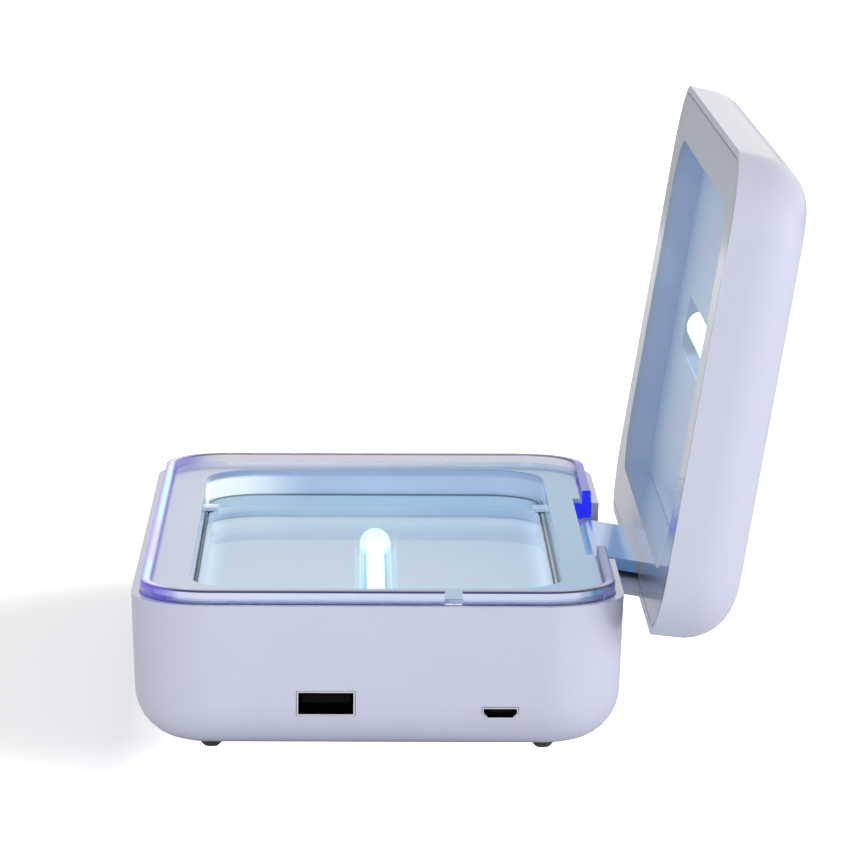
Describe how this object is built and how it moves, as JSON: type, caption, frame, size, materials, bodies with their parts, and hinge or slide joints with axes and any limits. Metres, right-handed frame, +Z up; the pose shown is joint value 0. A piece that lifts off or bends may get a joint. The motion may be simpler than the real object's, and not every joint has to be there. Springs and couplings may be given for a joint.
{
  "type": "ultraviolet sanitizer box",
  "caption": "Phone sanitizer box with a hinged lid open past upright, a glowing clear ring, a glass tray over a tube lamp, and sockets in its front.",
  "frame": {"origin": "centre of the base's flat underside, a foot's height above the surface it stands on", "axes": "+X towards the hinge side, +Y along the box away from its sockets, +Z up"},
  "size_m": [0.1519, 0.198, 0.1363],
  "materials": {
    "white_gloss": "glossy white moulding with a lavender cast",
    "clear_ring": "clear acrylic, polished, lit violet and blue",
    "plate_glass": "float glass with teal edges",
    "reflector": "satin reflector sheet",
    "lamp_glass": "clear lamp glass",
    "lamp_glow": "glowing lamp tube",
    "white_silicone": "matt white silicone",
    "strip_film": "flexible board film",
    "led_lens": "light-emitting diode body",
    "board_green": "solder-masked board",
    "board_parts": "component bodies",
    "bright_steel": "plated steel",
    "black_plastic": "black insulator",
    "black_rubber": "matt black rubber",
    "magnet": "plated magnet"
  },
  "bodies": {
    "base": {"base_shell": "white_gloss", "light_ring": "clear_ring", "tray_deck": "white_gloss", "glass_plate": "plate_glass", "base_reflector": "reflector", "base_lamp_jacket": "lamp_glass", "base_lamp_core": "lamp_glow", "base_lamp_socket": "white_silicone", "base_lamp_saddle": "white_silicone", "led_strip": "strip_film", "ring_leds": "led_lens", "main_board": "board_green", "board_parts": "board_parts", "usb_shell": "bright_steel", "usb_tongue": "black_plastic", "micro_shell": "bright_steel", "micro_tongue": "black_plastic", "hinge_bracket": "white_gloss", "hinge_pin": "bright_steel", "bracket_screws": "bright_steel", "board_screws": "bright_steel", "deck_screws": "bright_steel", "feet": "black_rubber", "lid_sensor": "black_plastic"},
    "lid": {"lid_shell": "white_gloss", "lid_frame": "white_gloss", "lid_reflector": "reflector", "lid_lamp_jacket": "lamp_glass", "lid_lamp_core": "lamp_glow", "lid_lamp_socket": "white_silicone", "lid_lamp_saddle": "white_silicone", "lid_screws": "bright_steel", "lid_magnet": "magnet", "switch_board": "board_green", "switch_body": "black_plastic"},
    "button": {"start_button": "white_gloss", "switch_plunger": "black_plastic"}
  },
  "joints": [
    {"name": "lid_hinge", "type": "hinge", "parent": "base", "child": "lid", "pos_m": [0.05354, 0, 0.0279], "axis": [0, 1, 0], "range_deg": [-99.5, 0]},
    {"name": "button_press", "type": "slide", "parent": "lid", "child": "button", "axis": [-0.9863, 0, 0.165], "range_m": [0, 0.0006], "stiffness_N_per_m": 500}
  ]
}
